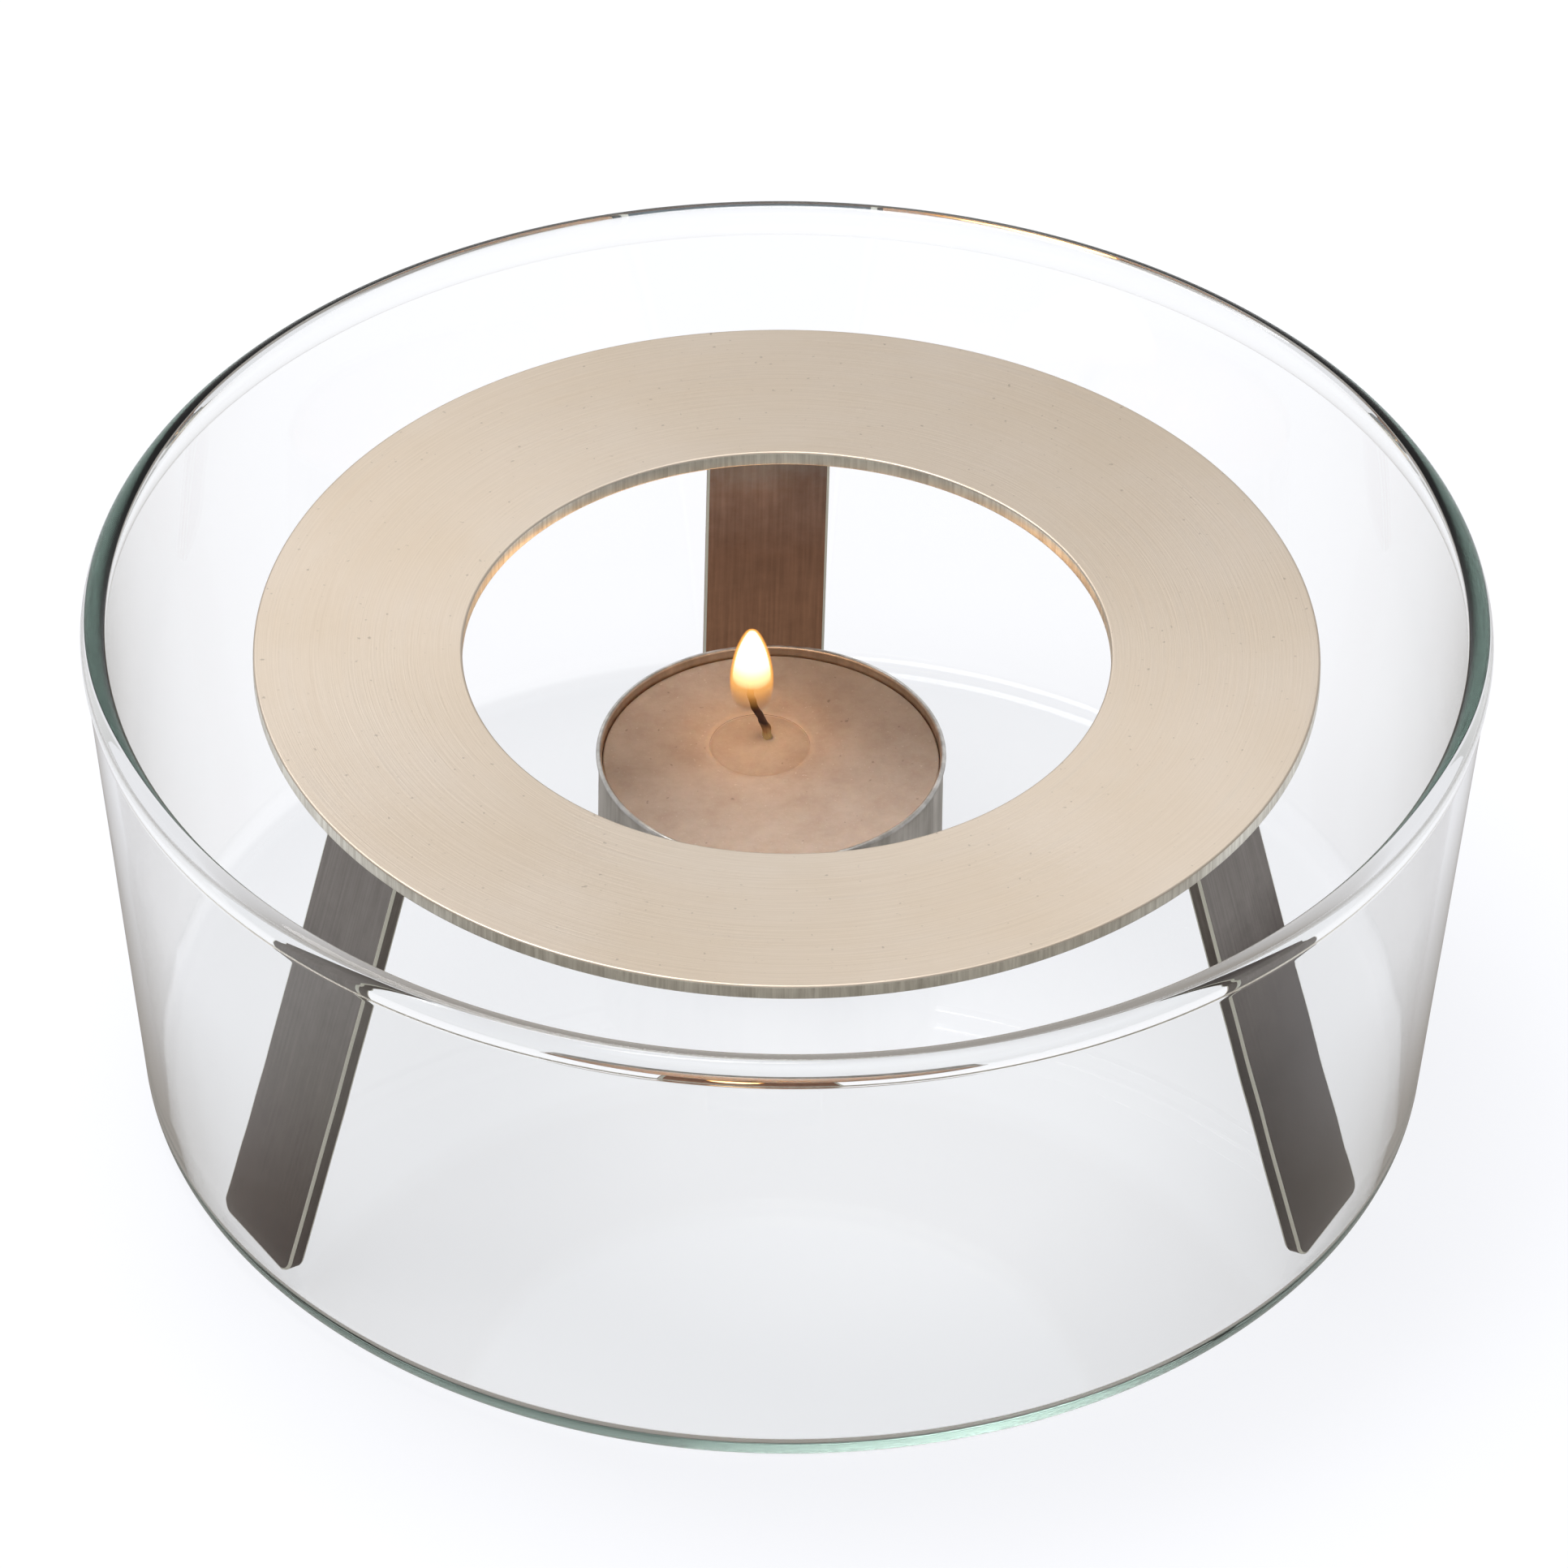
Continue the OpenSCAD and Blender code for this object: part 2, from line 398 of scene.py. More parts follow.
def leg_face_material(name, painted_tints):
    """Steel brushed along the strip, with tints from its foot to its top, which are painted reflection,
    shade and flame glow.
    """
    g = Graph(name)
    strip = g.grain()
    lines = g.noise(g.vector("MULTIPLY", strip, (1, 1, 0.03)), 2400.0, detail=4.0)
    blotches = g.noise(strip, 240.0, detail=5.0, roughness=0.65)
    both = g.maths("ADD", g.maths("MULTIPLY", lines, 0.5), g.maths("MULTIPLY", blotches, 0.5))
    colour = g.ramp(both, [(0.36, (0.43, 0.415, 0.405)), (0.64, (0.645, 0.635, 0.63))])
    along = g.add("ShaderNodeSeparateXYZ", {"Vector": strip}).outputs["Z"]
    rise = g.maths("ADD", g.maths("MULTIPLY", along, 1 / SHADED_LENGTH), g.maths("MULTIPLY", blotches, 0.12))
    # Painted reflection, shade and flame glow, from the foot up to the top
    painted_shade = g.ramp(rise, list(zip(SHADE_RISES, painted_tints)))
    return g.finish(g.principled({
        "Base Color": g.blend(1.0, colour, painted_shade, "MULTIPLY"),
        "Metallic": 0.85,
        "Roughness": g.ramp(blotches, [(0.3, 0.36), (0.7, 0.50)]),
        "Normal": g.bump(lines, 0.00002, 0.6),
    }))


def leg_edge_material():
    """Ground bevel along the edges of a leg, bright and greenish: partly the ground steel and partly a
    painted highlight.
    """
    g = Graph("leg_bevel_painted_highlight")
    lines = g.noise(g.vector("MULTIPLY", g.grain(), (1, 1, 0.05)), 1800.0)
    colour = g.ramp(lines, [(0.35, (0.92, 0.94, 0.84)), (0.65, (0.98, 1.0, 0.90))])
    return g.finish(g.principled({"Base Color": colour, "Metallic": 0.9, "Roughness": 0.32}))


def weld_material():
    g = Graph("weld_steel")
    tint = g.noise(g.place(), 900.0)
    colour = g.ramp(tint, [(0.3, (0.16, 0.13, 0.12)), (0.5, (0.30, 0.25, 0.20)), (0.7, (0.24, 0.24, 0.28))])
    return g.finish(g.principled({
        "Base Color": colour,
        "Metallic": 0.9,
        "Roughness": 0.42,
        "Normal": g.bump(tint, 0.00006, 0.5),
    }))


def cup_material(name, dull, bright):
    """Thin pressed aluminium with fine upright drawing marks, between a dull and a bright colour."""
    g = Graph(name)
    centred = g.vector("SUBTRACT", g.place(), (CUP_AT.x * MM, CUP_AT.y * MM, 0))
    upright = g.vector("MULTIPLY", centred, (1, 1, 0.05))
    marks = g.noise(upright, 700.0, detail=4.0)
    stains = g.noise(centred, 190.0, detail=3.0)
    both = g.maths("ADD", g.maths("MULTIPLY", marks, 0.6), g.maths("MULTIPLY", stains, 0.4))
    colour = g.ramp(both, [(0.36, dull), (0.64, bright)])
    return g.finish(g.principled({
        "Base Color": colour,
        "Metallic": 1.0,
        "Roughness": g.ramp(stains, [(0.3, 0.26), (0.7, 0.42)]),
        "Normal": g.bump(marks, 0.00008, 0.5),
    }))


def wax_material():
    """Translucent wax with pale bloom and fine specks, its colour darkened by painted shade and warmed by
    painted flame light.
    """
    g = Graph("candle_wax")
    bloom = g.noise(g.place(), 260.0, detail=5.0, roughness=0.7)
    grit = g.noise(g.place(), 2600.0, detail=2.0)
    # These colours are the wax's own, darkened by painted shade of the ring and warmed by painted light of
    # the flame
    base = g.ramp(bloom, [(0.35, (0.45, 0.335, 0.265)), (0.66, (0.54, 0.422, 0.345))])
    pale = g.ramp(grit, [(0.66, 0.0), (0.74, 0.5)])
    dark = g.ramp(g.noise(g.place(), 1300.0, detail=1.0), [(0.20, 0.66), (0.25, 1.0)])
    colour = g.blend(1.0, g.blend(pale, base, (0.72, 0.62, 0.54)), dark, "MULTIPLY")
    return g.finish(g.principled({
        "Base Color": colour,
        "Roughness": g.ramp(bloom, [(0.3, 0.46), (0.7, 0.62)]),
        "IOR": 1.40,
        "Specular IOR Level": 0.25,
        "Subsurface Weight": 0.6,
        "Subsurface Radius": (1.0, 0.55, 0.30),
        "Subsurface Scale": 0.0025,
        "Normal": g.bump(g.maths("ADD", bloom, g.maths("MULTIPLY", grit, 0.3)), 0.00012, 0.5),
    }))


def melt_material():
    """Liquid wax round the wick."""
    g = Graph("melted_wax")
    surface = g.principled({
        "Base Color": (1, 1, 1, 1),
        "Roughness": 0.02,
        "IOR": 1.44,
        "Transmission Weight": 1.0,
    })
    volume = g.add("ShaderNodeVolumeAbsorption", {"Color": (0.94, 0.88, 0.80, 1), "Density": 40.0})
    return g.finish(see_through(g, surface, (0.985, 0.965, 0.93)), volume.outputs[0])


# Colours along the first CHARRED_LENGTH metres of wick above the wax: soaked, charred, and brown at its tip,
# which is a painted glow of the flame
CHARRED_LENGTH = 0.008
WICK_CHAR_AND_GLOW_STOPS = [
    (0.0, (0.62, 0.45, 0.20)), (0.10, (0.38, 0.20, 0.08)), (0.22, (0.045, 0.018, 0.010)),
    (0.62, (0.075, 0.022, 0.010)), (0.86, (0.33, 0.12, 0.035)), (1.0, (0.50, 0.25, 0.08)),
]


def wick_material():
    """Cotton that is soaked with wax low down and charred above, with a painted glow of the flame at its
    tip.
    """
    g = Graph("wick_cotton")
    height = g.add("ShaderNodeSeparateXYZ", {"Vector": g.place()}).outputs["Z"]
    fibres = g.noise(g.vector("MULTIPLY", g.place(), (1, 1, 0.4)), 4200.0)
    rise = g.maths("MULTIPLY", g.maths("SUBTRACT", height, WAX_HI.z * MM), 1 / CHARRED_LENGTH)
    at = g.maths("ADD", rise, g.maths("MULTIPLY", g.maths("SUBTRACT", fibres, 0.5), 0.12))
    colour = g.ramp(at, WICK_CHAR_AND_GLOW_STOPS)
    return g.finish(g.principled({
        "Base Color": colour,
        "Roughness": 0.8,
        "Normal": g.bump(fibres, 0.00015, 0.8),
    }))


def sustainer_material():
    g = Graph("sustainer_tin")
    grain = g.noise(g.place(), 1200.0)
    colour = g.ramp(grain, [(0.35, (0.48, 0.48, 0.47)), (0.65, (0.64, 0.64, 0.63))])
    return g.finish(g.principled({"Base Color": colour, "Metallic": 1.0, "Roughness": 0.35}))


def flame_material(name, colour, strength, solid, fade):
    """One skin of the flame. solid is how opaque it is above the shares of height where it fades in."""
    g = Graph(name)
    height = g.add("ShaderNodeSeparateXYZ", {"Vector": g.place()}).outputs["Z"]
    rise = g.maths("DIVIDE", g.maths("SUBTRACT", height, FLAME_LOW * MM), (FLAME_HIGH - FLAME_LOW) * MM)
    share = g.ramp(rise, [(fade[0], 0.0), ((fade[0] + fade[1]) / 2, 0.35), (fade[1], 1.0)])
    cover = g.maths("MULTIPLY", share, solid)
    light = g.add("ShaderNodeEmission", {"Color": (*colour, 1), "Strength": strength})
    clear = g.add("ShaderNodeBsdfTransparent")
    mix = g.add("ShaderNodeMixShader")
    g.feed(mix.inputs[0], cover)
    g.feed(mix.inputs[1], clear.outputs[0])
    g.feed(mix.inputs[2], light.outputs[0])
    return g.finish(mix.outputs[0])


# ---------------------------------------------------------------- glass bowl
def bead_half(z, rim_high):
    """Half width at height z of the rim's bead, which narrows downwards from rim_high like half an ellipse.
    Below the ellipse it falls off steeply, so that only the wall counts there."""
    down = (rim_high - z) / RIM_DROP
    return RIM_BEAD_R * math.sqrt(1 - down * down) if down < 1 else -10.0 * (down - 1)


def smooth_max(a, b, width):
    """The larger of two numbers, rounded off where they come closer than width."""
    near = max(0.0, width - abs(a - b)) / width
    return max(a, b) + near * near * width / 4


def bowl_outline():
    """From the middle of the underside, out over the rim, and back in to the middle of the floor."""
    lean = math.radians(WALL_LEAN)
    lean_cos, lean_sin = math.cos(lean), math.sin(lean)
    rim_x = BOWL_R - RIM_BEAD_R
    rim_high = BOWL_HI.z - RIM_BEAD_R
    rim_low = rim_high - RIM_RISE
    line = lean_cos * (BOWL_R - RIM_PROUD) - lean_sin * rim_low

    def wall_x(z, depth=0.0):
        return (line - depth + lean_sin * z) / lean_cos

    corner_x = (line - CORNER_R + lean_sin * CORNER_R) / lean_cos
    floor_z = BASE_T + FLOOR_R
    floor_x = (line - WALL_T - FLOOR_R + lean_sin * floor_z) / lean_cos
    points = [(r, 0.0) for r in spread(0, corner_x, 4)][:-1]
    points += arc(corner_x, CORNER_R, CORNER_R, -90, -WALL_LEAN, 14)
    neck_z = rim_high - RIM_DROP - BELOW_BEAD
    plain = spread(CORNER_R - CORNER_R * lean_sin, neck_z, 10)[1:]
    bulging = spread(neck_z, rim_high, 26)[1:-1]
    points += [(wall_x(z), z) for z in plain]
    for z in bulging:
        points.append((smooth_max(wall_x(z), rim_x + bead_half(z, rim_high), BEAD_FILLET_OUT), z))
    points += arc(rim_x, rim_high, RIM_BEAD_R, 0, 180, 20)
    for z in reversed(bulging):
        inner = -smooth_max(-wall_x(z, WALL_T), bead_half(z, rim_high) - rim_x, BEAD_FILLET_IN)
        points.append((inner, z))
    foot = floor_z - FLOOR_R * lean_sin
    points += [(wall_x(z, WALL_T), z) for z in spread(neck_z, foot, 10)[:-1]]
    points += arc(floor_x, floor_z, FLOOR_R, -WALL_LEAN, -90, 12)
    points += [(r, BASE_T) for r in spread(floor_x, 0, 4)][1:]
    return points


def glass_waver(angle, radius, height):
    """Slight unevenness of the pressed glass, none at the foot and the rim."""
    inside = radius < BOWL_R - 1.0
    free = smooth_step((height - 5) / 8) * smooth_step((54 - height) / 8)
    where = Vector((math.cos(angle) * 9, math.sin(angle) * 9, height * 0.10 + (40 if inside else 0)))
    return GLASS_WAVER * free * noise.noise(where)


def make_bowl():
    bowl = lathe("bowl_glass", bowl_outline(), 576, ripple=glass_waver)
    paint(bowl, glass_material())
    place(bowl, "bowl", "clear_glass", "glass_bowl")


# ---------------------------------------------------------------- stand
def make_ring():
    low, high, e = RING_LO.z, RING_HI.z, RING_EDGE
    outline = arc(RING_R - e, low + e, e, -90, 0, 4) + arc(RING_R - e, high - e, e, 0, 90, 4)
    outline += [(r, high) for r in spread(RING_R - e - RING_HEM, RING_HOLE_R + e + RING_HEM, 10)]
    outline += arc(RING_HOLE_R + e, high - e, e, 90, 180, 4)
    outline += arc(RING_HOLE_R + e, low + e, e, 180, 270, 4)
    outline += [(r, low) for r in spread(RING_HOLE_R + e + RING_HEM, RING_R - e - RING_HEM, 6)]
    ring = lathe("ring_steel", outline, 384, loop=True)
    paint(ring, ring_face_material(), ring_edge_material())
    for face in ring.data.polygons:
        if abs(face.normal.z) < 0.5:
            face.material_index = 1
    place(ring, "stand", "brushed_steel", "pot_ring")


BEND_ANGLE = 35


def leg_radius(z):
    """Distance from the axis to a leg's outer face at height z."""
    return LEG_FOOT_R - (z - LEG_LO.z) * math.tan(LEG_SPLAY)


def make_leg(node, turn, face_material, bevel_material):
    """Strip with rounded foot corners and bevelled edges, turned about the axis."""
    high, low, half = LEG_HI.z, LEG_LO.z, LEG_HALF_W
    edge = [(half, z) for z in spread(high, low + FOOT_ROUND, 8)]
    edge += arc(half - FOOT_ROUND, low + FOOT_ROUND, FOOT_ROUND, 0, -90, 7)[1:]
    edge += [(-u, z) for u, z in reversed(edge)]
    cos_t, sin_t = math.cos(math.radians(turn)), math.sin(math.radians(turn))
    points, strip = [], []
    for depth in (0.0, LEG_DEPTH):
        for u, z in edge:
            r = leg_radius(z) - depth
            points.append((r * cos_t - u * sin_t, r * sin_t + u * cos_t, z))
            strip.append((u, depth, z))
    n = len(edge)
    faces = [tuple(range(n)), tuple(range(2 * n - 1, n - 1, -1))]
    faces += [(i, n + i, n + (i + 1) % n, (i + 1) % n) for i in range(n)]
    leg = build(f"{node}_steel", points, faces, sharp_angle=BEND_ANGLE)
    grain = leg.data.attributes.new("grain", "FLOAT_VECTOR", "POINT")
    for item, where in zip(grain.data, strip):
        item.vector = Vector(where) * MM
    paint(leg, face_material, bevel_material)
    bevel = leg.modifiers.new("ground_edges", "BEVEL")
    bevel.width = LEG_BEVEL * MM
    bevel.segments = 2
    bevel.limit_method = "ANGLE"
    bevel.angle_limit = math.radians(BEND_ANGLE)
    bevel.material = 1
    place(leg, "stand", "leg_steel", node)


def make_legs():
    bevel_material = leg_edge_material()
    for node, turn in LEG_TURNS.items():
        make_leg(node, turn, leg_face_material(*LEG_PAINTED_SHADES[node]), bevel_material)


def make_weld():
    """Quarter-round weld beads with solidified ripples, in the angle behind each leg."""
    points, faces = [], []
    under = LEG_HI.z
    inner = LEG_TOP_R - LEG_DEPTH
    lengthwise, around = 40, 8
    for turn in LEG_TURNS.values():
        cos_t, sin_t = math.cos(math.radians(turn)), math.sin(math.radians(turn))
        first = len(points)
        for i in range(lengthwise + 1):
            t = i / lengthwise
            u = BEAD_LEN * (t - 0.5)
            ends = math.sqrt(max(0.0, 1 - abs(2 * t - 1) ** 6))
            size = BEAD_R * (0.25 + 0.75 * ends) * (0.93 + 0.06 * math.sin(t * math.pi * 22))
            for k in range(around + 1):
                a = math.radians(180 + (90 + math.degrees(LEG_SPLAY)) * k / around)
                r = inner + size * math.cos(a)
                z = under + size * math.sin(a)
                points.append((r * cos_t - u * sin_t, r * sin_t + u * cos_t, z))
            r = inner
            points.append((r * cos_t - u * sin_t, r * sin_t + u * cos_t, under))
        row = around + 2
        for i in range(lengthwise):
            a, b = first + i * row, first + (i + 1) * row
            faces += [(a + k, a + (k + 1) % row, b + (k + 1) % row, b + k) for k in range(row)]
        faces += [tuple(range(first + row - 1, first - 1, -1))]
        faces += [tuple(first + lengthwise * row + k for k in range(row))]
    weld = build("weld_beads_steel", points, faces, sharp_angle=60)
    paint(weld, weld_material())
    place(weld, "stand", "leg_steel", "weld_beads")


# ---------------------------------------------------------------- tealight
def cup_crease(angle, radius, height):
    """Fine upright creases of the thin pressed wall, fading out at the base and at the rolled rim."""
    if radius < CUP_WALL_R - 1.2:
        return 0.0
    low = smooth_step((height - CUP_LO.z - 0.8) / 2)
    high = smooth_step((CUP_HI.z - 0.9 - height) / 1.2)
    where = Vector((math.cos(angle) * 11, math.sin(angle) * 11, height * 0.05))
    crease = math.sin(angle * 60 + 3 * noise.noise(where)) * (0.5 + noise.noise(where))
    return CUP_CREASE * low * high * crease


def make_cup():
    """Pressed cup with a rolled rim, which stands on a narrow ring in its bottom."""
    base, corner = CUP_LO.z, CUP_CORNER
    roll_z = CUP_HI.z - CUP_ROLL_R
    stand_r = CUP_WALL_R - corner - 1.0
    outline = [(r, base + CUP_RECESS) for r in spread(0, stand_r - 0.6, 6)]
    outline += [(stand_r, base + 0.03), (stand_r + 0.4, base)]
    outline += arc(CUP_WALL_R - corner, base + corner, corner, -90, 0, 6)
    outline += [(CUP_WALL_R, z) for z in spread(base + corner, roll_z - 0.5, 16)][1:]
    outline += arc(CUP_WALL_R, roll_z, CUP_ROLL_R, -60, 200, 14)
    inner_r = CUP_WALL_R - CUP_T
    inner_corner = corner - CUP_T
    floor = base + CUP_T - CUP_PLAY
    outline += [(inner_r, z) for z in spread(roll_z - 0.5, floor + inner_corner, 16)][:-1]
    outline += arc(inner_r - inner_corner, floor + inner_corner, inner_corner, 0, -90, 5)
    outline += [(r, floor) for r in spread(inner_r - inner_corner, 0, 6)][1:]
    cup = lathe("tealight_shell", outline, 360, centre=(CUP_AT.x, CUP_AT.y), ripple=cup_crease)
    bare = cup_material("cup_aluminium", (0.48, 0.468, 0.445), (0.86, 0.84, 0.815))
    # The brown of the cup's inside is painted shade with the warm light of the flame
    shaded_inside = cup_material("cup_inside_painted_shade", (0.42, 0.34, 0.28), (0.62, 0.52, 0.44))
    paint(cup, bare, shaded_inside)
    for face in cup.data.polygons:
        outward = Vector((face.center.x - CUP_AT.x * MM, face.center.y - CUP_AT.y * MM, 0)).normalized()
        if face.normal.dot(outward) < -0.5:
            face.material_index = 1
    place(cup, "tealight", "cup_aluminium", "tealight_cup")


def off_centre_ring(middle, share, inner_r, segments):
    """Circle of points round middle that widens to the wax's own outline as share goes from 0 to 1."""
    ring = []
    for i in range(segments):
        a = 2 * math.pi * i / segments
        way = Vector((math.cos(a), math.sin(a)))
        near = middle + way * inner_r
        far = Vector((CUP_AT.x, CUP_AT.y)) + way * (WAX_R - WAX_EDGE)
        ring.append(near.lerp(far, share))
    return ring


# Wall of the melt pool in the wax: radius, and depth below the wax's top
POOL_WALL = [(5.25, 0.44), (5.42, 0.37), (5.55, 0.24), (5.68, 0.13)]
POOL_BRINK_R = 5.85
POOL_DEPTH = 0.62


def make_wax():
    """Wax block with a melt pool in its top and the sustainer's recess in its bottom."""
    segments = 144
    top, bottom = WAX_HI.z, WAX_LO.z
    rings = []

    def add(circle, height):
        rings.append([(p.x, p.y, height(p) if callable(height) else height) for p in circle])

    def top_height(p):
        from_edge = WAX_R - (p - Vector((CUP_AT.x, CUP_AT.y))).length
        swell = 0.05 * noise.noise(Vector((p.x * 0.22, p.y * 0.22, 3.1)))
        fine = 0.015 * noise.noise(Vector((p.x * 1.3, p.y * 1.3, 7.7)))
        bank = 0.30 * smooth_step(((p - POOL_AT).length - POOL_R) / 3.5)
        return top - 0.10 + swell + fine + bank + 0.22 * math.exp(-from_edge / 0.8)

    for r in spread(0.35, 5.0, 9):
        add(off_centre_ring(POOL_AT, 0, r, segments), top - POOL_DEPTH + 0.20 * (r / POOL_R) ** 2)
    for r, depth in POOL_WALL:
        add(off_centre_ring(POOL_AT, 0, r, segments), top - depth)
    for share in [t ** 0.8 for t in spread(0.01, 1.0, 26)]:
        add(off_centre_ring(POOL_AT, share, POOL_BRINK_R, segments), top_height)
    centre = Vector((CUP_AT.x, CUP_AT.y))
    side = arc(WAX_R - WAX_EDGE, top + WAX_CLIMB, WAX_EDGE, 80, 0, 5)
    side += [(WAX_R, z) for z in spread(top + WAX_CLIMB, bottom + 1, 8)][1:]
    side += arc(WAX_R - 1, bottom + 1, 1, 0, -90, 6)[1:]
    for radius, z in side:
        ring = []
        for i in range(segments):
            a = 2 * math.pi * i / segments
            ring.append(centre + Vector((math.cos(a), math.sin(a))) * radius)
        add(ring, z)
    for share in (0.7, 0.4, 0.15, 0.0):
        add(off_centre_ring(WICK_AT, share, DISC_R + 0.08, segments), bottom)
    add(off_centre_ring(WICK_AT, 0, DISC_R + 0.06, segments), bottom + DISC_T + 0.02)
    add(off_centre_ring(WICK_AT, 0, NECK_R + 0.08, segments), bottom + DISC_T + 0.02)
    add(off_centre_ring(WICK_AT, 0, NECK_R + 0.06, segments), bottom + NECK_H + 0.02)
    points = [p for ring in rings for p in ring]
    faces = []
    for j in range(len(rings) - 1):
        for i in range(segments):
            k = (i + 1) % segments
            a, b = j * segments, (j + 1) * segments
            faces.append((a + i, a + k, b + k, b + i))
    last = (len(rings) - 1) * segments
    faces.append(tuple(range(segments - 1, -1, -1)))
    faces.append(tuple(last + i for i in range(segments)))
    wax = build("candle_wax_block", points, faces, sharp_angle=50)
    paint(wax, wax_material())
    place(wax, "candle", "wax", "candle_wax")


def make_melt():
    """Melted wax in the pool: its top dips in the middle and climbs at the pool's edge and at the wick."""
    top = WAX_HI.z
    to_wick = WICK_AT - POOL_AT

    def level(x, y):
        from_edge = POOL_R - MELT_PLAY - math.hypot(x, y)
        from_wick = math.hypot(x - to_wick.x, y - to_wick.y) - WICK_R
        return top - 0.30 + 0.04 * math.exp(-from_edge / 0.35) + 0.16 * math.exp(-max(from_wick, 0) / 0.45)

    segments, radii = 96, spread(0.25, POOL_R - MELT_PLAY, 26)
    points = []
    for r in radii:
        for i in range(segments):
            a = 2 * math.pi * i / segments
            x, y = r * math.cos(a), r * math.sin(a)
            points.append((POOL_AT.x + x, POOL_AT.y + y, level(x, y)))
    for r in (radii[-1] - 0.1, 0.25):
        for i in range(segments):
            a = 2 * math.pi * i / segments
            points.append((POOL_AT.x + r * math.cos(a), POOL_AT.y + r * math.sin(a), top - 0.80))
    faces = []
    rows = len(radii) + 2
    for j in range(rows - 1):
        for i in range(segments):
            k = (i + 1) % segments
            a, b = j * segments, (j + 1) * segments
            faces.append((a + i, a + k, b + k, b + i))
    faces.append(tuple(range(segments - 1, -1, -1)))
    faces.append(tuple((rows - 1) * segments + i for i in range(segments)))
    melt = build("melt_pool", points, faces, sharp_angle=60)
    paint(melt, melt_material())
    place(melt, "candle", "wax")


def wick_path():
    foot = Vector((WICK_AT.x, WICK_AT.y, 0))
    bend_z = WAX_HI.z - WICK_BEND_DEPTH
    knots = [foot + Vector((0, 0, z)) for z in (WAX_LO.z + DISC_T, WAX_LO.z + 5, bend_z - 3)]
    knots += [foot + Vector((x, 0, bend_z + z)) for x, z in WICK_BENDS]
    return smooth_path(knots, 12)


def make_wick():
    """Braided cotton cord, thinner where it has burnt."""
    path = wick_path()
    around = 20
    points, faces = [], []
    length = 0.0
    for i, at in enumerate(path):
        before, after = path[max(i - 1, 0)], path[min(i + 1, len(path) - 1)]
        length += (at - before).length if i else 0
        way = (after - before).normalized()
        side = way.cross(Vector((0, 1, 0))).normalized()
        front = side.cross(way)
        burnt = smooth_step((at.z - WAX_HI.z - 0.5) / 2)
        tip = smooth_step((path[-1].z - at.z) / 0.7)
        size = WICK_R * (1 - 0.22 * burnt) * (0.35 + 0.65 * tip)
        for k in range(around):
            a = 2 * math.pi * k / around
            strand = 0.10 * math.cos(3 * a - 3.2 * length) + 0.07 * math.cos(3 * a + 3.2 * length)
            r = size * (0.9 + strand)
            points.append(at + side * (r * math.cos(a)) + front * (r * math.sin(a)))
    for i in range(len(path) - 1):
        a, b = i * around, (i + 1) * around
        faces += [(a + k, a + (k + 1) % around, b + (k + 1) % around, b + k) for k in range(around)]
    last = (len(path) - 1) * around
    faces += [tuple(range(around - 1, -1, -1)), tuple(last + k for k in range(around))]
    wick = build("wick_braid", points, faces, sharp_angle=60)
    paint(wick, wick_material())
    place(wick, "candle", "wick_cotton", "wick")


def finish_sustainer():
    """The CAD model's own disc and neck are kept, with a material of their own."""
    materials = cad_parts["wick_sustainer"].data.materials
    materials.clear()
    materials.append(sustainer_material())


# ---------------------------------------------------------------- flame
FLAME_POWER = 0.0022
WICK_TIP = wick_path()[-1]
FLAME_LOW = WICK_TIP.z - 3.2
FLAME_HIGH = WICK_TIP.z + 6.9
# Half widths of the flame in millimetres, at shares of its height
FLAME_SHAPE = [(0.0, 1.95), (0.1, 2.22), (0.25, 2.38), (0.4, 2.36), (0.55, 2.16), (0.7, 1.82), (0.82, 1.40),
               (0.9, 1.04), (0.96, 0.65), (1.0, 0.0)]
# Skins of the flame from the outside in: how far in, colour, strength, how opaque, and where it fades in
FLAME_SKINS = [
    (0.00, (1.0, 0.38, 0.07), 1.1, 0.36, (0.04, 0.32)),
    (0.10, (1.0, 0.50, 0.13), 1.3, 0.45, (0.08, 0.40)),
    (0.20, (1.0, 0.66, 0.26), 1.8, 0.55, (0.20, 0.48)),
    (0.32, (1.0, 0.88, 0.60), 9.0, 0.97, (0.33, 0.56)),
]


